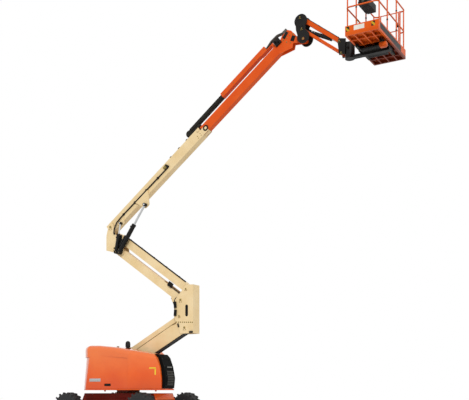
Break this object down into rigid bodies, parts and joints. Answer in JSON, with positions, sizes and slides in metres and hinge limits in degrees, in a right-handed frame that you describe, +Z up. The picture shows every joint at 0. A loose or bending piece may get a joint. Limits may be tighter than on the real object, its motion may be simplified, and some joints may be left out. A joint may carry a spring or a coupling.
{
  "type": "articulating boom lift",
  "caption": "Wheeled lift with a folding two-stage tower, a telescoping main boom, a parallel-link jib and a railed work platform.",
  "frame": {"origin": "on the ground under the centre of the machine's bounding box in the stored pose", "axes": "+X the way the boom points, +Y to the machine's left, +Z up; the swing axis stands at X = -2.85 m"},
  "size_m": [8.9091, 2.334, 9.6959],
  "materials": {
    "tyre": "matte, sun-greyed",
    "rim": "gloss",
    "chassis_red": "satin",
    "orange": "gloss",
    "cream": "satin",
    "black": "satin",
    "black_plastic": "matte",
    "hood_orange": "gloss",
    "cast": "rough",
    "rod": "polished",
    "hose": "matte",
    "track": "matte",
    "tank_black": "matte"
  },
  "bodies": {
    "chassis": {"chassis_frame": "chassis_red", "front_axle": "black", "rear_axle": "black", "steer_cylinder": "black", "swing_bearing": "chassis_red"},
    "steering_rod": {"steer_rod": "rod"},
    "left_knuckle": {"knuckle_left": "black"},
    "right_knuckle": {"knuckle_right": "black"},
    "front_left_wheel": {"tyre_front_left": "tyre", "rim_front_left": "rim"},
    "front_right_wheel": {"tyre_front_right": "tyre", "rim_front_right": "rim"},
    "rear_left_wheel": {"tyre_rear_left": "tyre", "rim_rear_left": "rim"},
    "rear_right_wheel": {"tyre_rear_right": "tyre", "rim_rear_right": "rim"},
    "turntable": {"turntable_frame": "black", "engine": "cast", "counterweight": "cast", "fluid_tanks": "tank_black", "ground_controls": "black_plastic"},
    "right_hood": {"hood_right": "hood_orange", "exhaust_stack": "black", "front_fascia": "black_plastic"},
    "left_hood": {"hood_left": "hood_orange"},
    "lower_arm": {"lower_tower_arm": "cream"},
    "lower_link": {"lower_tower_link": "cream"},
    "mid_upright": {"mid_upright": "cream", "upright_hose": "hose"},
    "upper_arm": {"upper_tower_arm": "cream"},
    "upper_link": {"upper_tower_link": "cream", "tower_hose": "hose"},
    "tower_barrel": {"tower_cylinder_barrel": "black"},
    "tower_rod": {"tower_cylinder_rod": "rod"},
    "top_upright": {"top_upright": "cream"},
    "main_boom": {"main_boom": "cream", "boom_hose": "hose"},
    "boom_barrel": {"boom_cylinder_barrel": "black"},
    "boom_rod": {"boom_cylinder_rod": "rod"},
    "level_barrel": {"level_cylinder_barrel": "black"},
    "level_rod": {"level_cylinder_rod": "rod"},
    "fly_boom": {"fly_boom": "orange", "cable_track": "track", "track_tray": "orange", "nose_hoses": "hose"},
    "jib_bracket": {"jib_bracket": "black"},
    "jib_upper_link": {"jib_upper_link": "orange"},
    "jib_lower_link": {"jib_lower_link": "orange"},
    "jib_barrel": {"jib_cylinder_barrel": "black"},
    "jib_rod": {"jib_cylinder_rod": "rod"},
    "platform_support": {"platform_support": "black"},
    "platform": {"platform_floor": "orange", "platform_carrier": "black", "platform_rails": "orange", "control_console": "black_plastic"},
    "platform_gate": {"platform_gate": "orange"}
  },
  "joints": [
    {"name": "turntable_swing", "type": "hinge", "parent": "chassis", "child": "turntable", "pos_m": [-2.85, 0, 0.815], "axis": [0, 0, 1], "range_deg": [-177.5, 177.5]},
    {"name": "left_knuckle_steer", "type": "hinge", "parent": "chassis", "child": "left_knuckle", "pos_m": [-1.67, 0.787, 0.42], "axis": [0, 0, 1], "range_deg": [-35, 35]},
    {"name": "right_knuckle_steer", "type": "hinge", "parent": "chassis", "child": "right_knuckle", "pos_m": [-1.67, -0.787, 0.42], "axis": [0, 0, 1], "range_deg": [-35, 35]},
    {"name": "steering_rod_slide", "type": "slide", "parent": "chassis", "child": "steering_rod", "axis": [0, -1, 0], "range_m": [-0.096, 0.096]},
    {"name": "front_left_wheel_spin", "type": "hinge", "parent": "left_knuckle", "child": "front_left_wheel", "pos_m": [-1.67, 1.017, 0.42], "axis": [0, 1, 0], "continuous": true},
    {"name": "front_right_wheel_spin", "type": "hinge", "parent": "right_knuckle", "child": "front_right_wheel", "pos_m": [-1.67, -1.017, 0.42], "axis": [0, 1, 0], "continuous": true},
    {"name": "rear_left_wheel_spin", "type": "hinge", "parent": "chassis", "child": "rear_left_wheel", "pos_m": [-4.03, 1.017, 0.42], "axis": [0, 1, 0], "continuous": true},
    {"name": "rear_right_wheel_spin", "type": "hinge", "parent": "chassis", "child": "rear_right_wheel", "pos_m": [-4.03, -1.017, 0.42], "axis": [0, 1, 0], "continuous": true},
    {"name": "right_hood_hinge", "type": "hinge", "parent": "turntable", "child": "right_hood", "pos_m": [-3.49, -0.29, 2.045], "axis": [-1, 0, 0], "range_deg": [0, 50]},
    {"name": "left_hood_hinge", "type": "hinge", "parent": "turntable", "child": "left_hood", "pos_m": [-3.49, 0.29, 2.045], "axis": [1, 0, 0], "range_deg": [0, 50]},
    {"name": "tower_lift", "type": "hinge", "parent": "turntable", "child": "lower_arm", "pos_m": [-3.255, 0, 1.261], "axis": [0, -1, 0], "range_deg": [-33, 32]},
    {"name": "lower_link_hinge", "type": "hinge", "parent": "turntable", "child": "lower_link", "pos_m": [-3.415, 0, 1.561], "axis": [0, -1, 0], "range_deg": [-33, 32]},
    {"name": "mid_upright_hinge", "type": "hinge", "parent": "lower_arm", "child": "mid_upright", "pos_m": [-0.95934, 0, 2.48163], "axis": [0, -1, 0], "range_deg": [-32, 33]},
    {"name": "upper_arm_hinge", "type": "hinge", "parent": "mid_upright", "child": "upper_arm", "pos_m": [-1.07934, 0, 3.19163], "axis": [0, -1, 0], "range_deg": [-32, 33]},
    {"name": "upper_link_hinge", "type": "hinge", "parent": "mid_upright", "child": "upper_link", "pos_m": [-0.91934, 0, 3.46163], "axis": [0, -1, 0], "range_deg": [-32, 33]},
    {"name": "top_upright_hinge", "type": "hinge", "parent": "upper_arm", "child": "top_upright", "pos_m": [-3.20963, 0, 4.69438], "axis": [0, -1, 0], "range_deg": [-33, 32]},
    {"name": "tower_barrel_hinge", "type": "hinge", "parent": "lower_arm", "child": "tower_barrel", "pos_m": [-1.11434, 0, 2.57163], "axis": [0, -1, 0], "range_deg": [-51.2, 52.8]},
    {"name": "tower_rod_slide", "type": "slide", "parent": "tower_barrel", "child": "tower_rod", "axis": [-0.3865, 0, 0.9223], "range_m": [-0.2072, 0.2009]},
    {"name": "boom_lift", "type": "hinge", "parent": "top_upright", "child": "main_boom", "pos_m": [-3.34963, 0, 5.27438], "axis": [0, -1, 0], "range_deg": [-37, 18]},
    {"name": "boom_barrel_hinge", "type": "hinge", "parent": "top_upright", "child": "boom_barrel", "pos_m": [-2.99663, -0.19, 4.55938], "axis": [0, -1, 0], "range_deg": [-29.96, 14.63]},
    {"name": "boom_rod_slide", "type": "slide", "parent": "boom_barrel", "child": "boom_rod", "axis": [0.5788, 0, 0.8155], "range_m": [-0.4713, 0.2295]},
    {"name": "level_barrel_hinge", "type": "hinge", "parent": "top_upright", "child": "level_barrel", "pos_m": [-3.11463, -0.19, 4.57439], "axis": [0, -1, 0], "range_deg": [-2.84, 1.43]},
    {"name": "level_rod_slide", "type": "slide", "parent": "level_barrel", "child": "level_rod", "axis": [0.1965, 0, 0.9805], "range_m": [-0.2404, 0.1172]},
    {"name": "boom_telescope", "type": "slide", "parent": "main_boom", "child": "fly_boom", "axis": [0.7986, 0, 0.6018], "range_m": [-2.6, 0.15]},
    {"name": "jib_bracket_hinge", "type": "hinge", "parent": "fly_boom", "child": "jib_bracket", "pos_m": [2.33008, 0, 9.10609], "axis": [0, -1, 0], "range_deg": [-18, 37]},
    {"name": "jib_lift", "type": "hinge", "parent": "jib_bracket", "child": "jib_lower_link", "pos_m": [2.29808, 0, 9.34609], "axis": [0, 1, 0], "range_deg": [-121.7, 22.3]},
    {"name": "jib_upper_link_hinge", "type": "hinge", "parent": "jib_bracket", "child": "jib_upper_link", "pos_m": [2.25308, 0, 9.62109], "axis": [0, 1, 0], "range_deg": [-121.7, 22.3]},
    {"name": "platform_support_hinge", "type": "hinge", "parent": "jib_lower_link", "child": "platform_support", "pos_m": [3.2792, 0, 8.5878], "axis": [0, 1, 0], "range_deg": [-22.3, 121.7]},
    {"name": "jib_barrel_hinge", "type": "hinge", "parent": "jib_bracket", "child": "jib_barrel", "pos_m": [2.29808, 0, 9.34609], "axis": [0, 1, 0], "range_deg": [-119.24, 21.93]},
    {"name": "jib_rod_slide", "type": "slide", "parent": "jib_barrel", "child": "jib_rod", "axis": [0.8886, 0, -0.4587], "range_m": [-0.0908, 0.4933]},
    {"name": "platform_rotate", "type": "hinge", "parent": "platform_support", "child": "platform", "pos_m": [3.4502, 0, 8.5598], "axis": [0, 0, 1], "range_deg": [-90, 90]},
    {"name": "platform_gate_hinge", "type": "hinge", "parent": "platform", "child": "platform_gate", "pos_m": [3.8642, 0.895, 9], "axis": [0, 0, -1], "range_deg": [0, 90]}
  ],
  "couplings": [
    {"joint": "right_knuckle_steer", "follows": "left_knuckle_steer", "ratio": 1},
    {"joint": "steering_rod_slide", "follows": "left_knuckle_steer", "m_per_rad": 0.155},
    {"joint": "lower_link_hinge", "follows": "tower_lift", "ratio": 1},
    {"joint": "mid_upright_hinge", "follows": "tower_lift", "ratio": -1},
    {"joint": "upper_arm_hinge", "follows": "tower_lift", "ratio": -1},
    {"joint": "upper_link_hinge", "follows": "tower_lift", "ratio": -1},
    {"joint": "top_upright_hinge", "follows": "tower_lift", "ratio": 1},
    {"joint": "tower_barrel_hinge", "follows": "tower_lift", "ratio": -1.597},
    {"joint": "tower_rod_slide", "follows": "tower_lift", "m_per_rad": 0.3588},
    {"joint": "boom_barrel_hinge", "follows": "boom_lift", "ratio": 0.807},
    {"joint": "boom_rod_slide", "follows": "boom_lift", "m_per_rad": 0.729},
    {"joint": "level_barrel_hinge", "follows": "boom_lift", "ratio": 0.074},
    {"joint": "level_rod_slide", "follows": "boom_lift", "m_per_rad": 0.3715},
    {"joint": "jib_bracket_hinge", "follows": "boom_lift", "ratio": -1},
    {"joint": "jib_upper_link_hinge", "follows": "jib_lift", "ratio": 1},
    {"joint": "platform_support_hinge", "follows": "jib_lift", "ratio": -1},
    {"joint": "jib_barrel_hinge", "follows": "jib_lift", "ratio": 0.979},
    {"joint": "jib_rod_slide", "follows": "jib_lift", "m_per_rad": -0.232}
  ]
}
